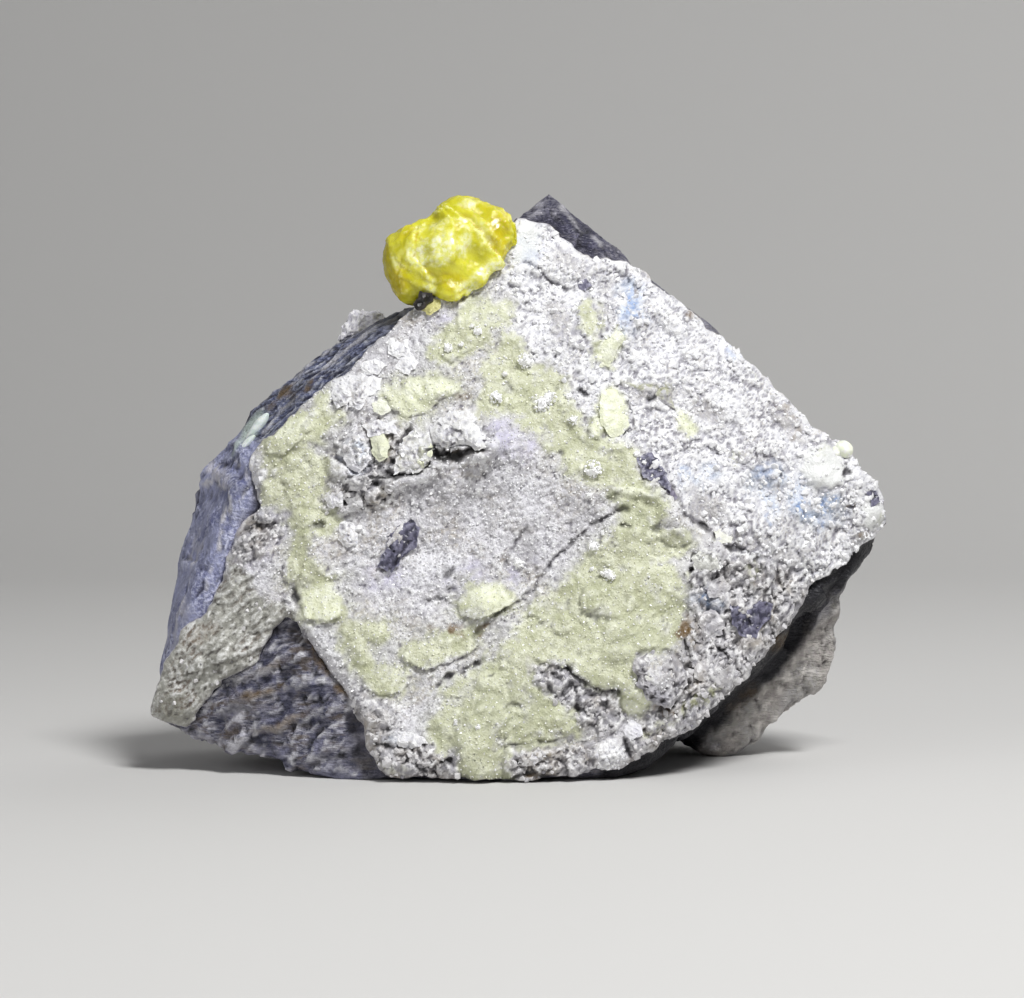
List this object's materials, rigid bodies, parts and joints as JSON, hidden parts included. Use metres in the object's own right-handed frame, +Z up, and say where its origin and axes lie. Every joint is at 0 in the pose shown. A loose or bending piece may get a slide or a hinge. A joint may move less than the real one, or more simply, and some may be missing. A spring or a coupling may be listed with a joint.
{
  "type": "yellow crystal cluster on matrix specimen",
  "caption": "Mineral specimen: lobed translucent yellow crystals on the crest of a dark wedge-shaped rock whose front is covered in pale green and white druse.",
  "frame": {"origin": "bottom centre of the specimen's bounding box, on the plane that it rests on", "axes": "+X along the width, to the right as seen from the crusted front; +Y to the back; +Z up"},
  "size_m": [0.1014, 0.0514, 0.0787],
  "materials": {
    "dark_rock": "rough broken faces, some smooth and waxy",
    "pale_druse": "sugary druse of tiny crystals",
    "yellow_crystal": "translucent, waxy to glassy",
    "white_crust": "grainy, matt"
  },
  "bodies": {
    "root": {"host_rock": "dark_rock", "drusy_crust": "pale_druse", "yellow_crystal_cluster": "yellow_crystal", "rear_crust_lump": "white_crust"}
  },
  "joints": []
}
